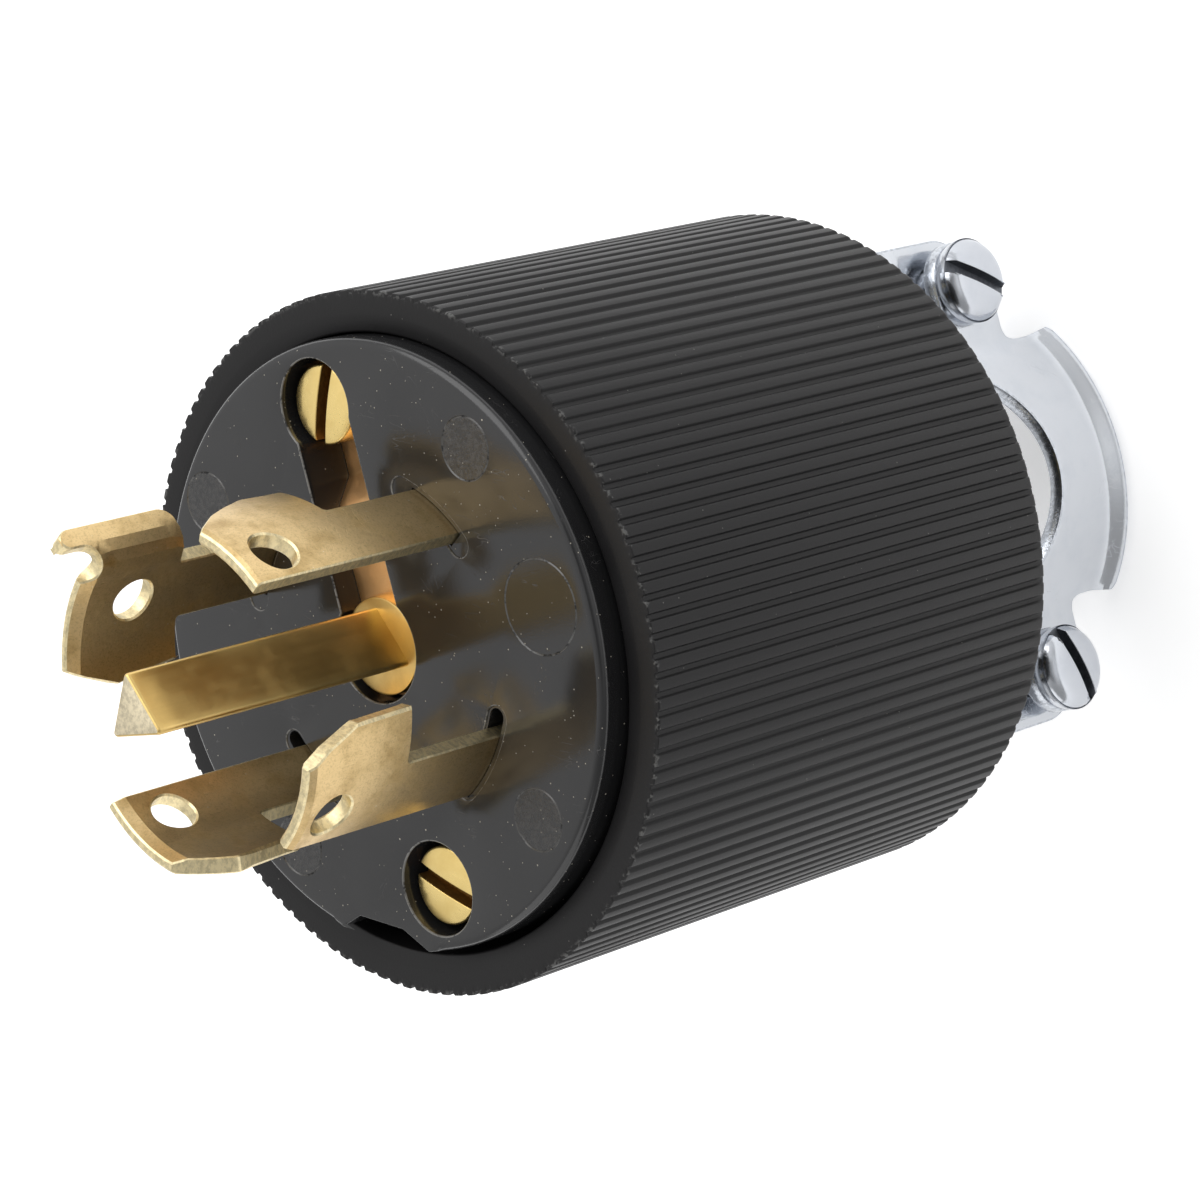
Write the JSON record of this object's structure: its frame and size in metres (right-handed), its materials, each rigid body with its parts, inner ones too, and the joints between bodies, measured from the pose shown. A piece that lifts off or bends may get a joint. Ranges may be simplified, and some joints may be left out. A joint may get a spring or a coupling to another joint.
{
  "type": "locking power plug",
  "caption": "Round locking power plug with curved hooked blades round a ground pin, a ribbed black sleeve and a plated steel cord clamp.",
  "frame": {"origin": "on the sleeve's axis, in the plane of the cord clamp's rear edges, which the plug stands on", "axes": "+Z along the sleeve's axis towards the blades, +X towards the heads of the clamp screws"},
  "size_m": [0.0592, 0.0592, 0.1167],
  "materials": {
    "sleeve": "matte",
    "disc": "satin",
    "carrier": "matte",
    "blade_brass": "brushed",
    "pin_brass": "polished",
    "screw_brass": "polished",
    "copper": "satin copper",
    "plated_steel": "zinc plated"
  },
  "bodies": {
    "root": {"outer_sleeve": "sleeve", "plug_body": "disc", "terminal_carrier": "carrier", "locking_blade_1": "blade_brass", "locking_blade_2": "blade_brass", "locking_blade_3": "blade_brass", "locking_blade_4": "blade_brass", "ground_pin": "pin_brass", "ground_strap": "copper", "assembly_screw_upper": "screw_brass", "assembly_screw_lower": "screw_brass", "terminal_screw_1": "screw_brass", "terminal_screw_2": "screw_brass", "terminal_screw_3": "screw_brass", "terminal_screw_4": "screw_brass", "terminal_screw_5": "screw_brass", "wire_plate_1": "pin_brass", "wire_plate_2": "pin_brass", "wire_plate_3": "pin_brass", "wire_plate_4": "pin_brass", "wire_plate_5": "pin_brass", "clamp_yoke": "plated_steel", "clamp_saddle": "plated_steel", "clamp_screw_upper": "plated_steel", "clamp_screw_lower": "plated_steel"}
  },
  "joints": []
}
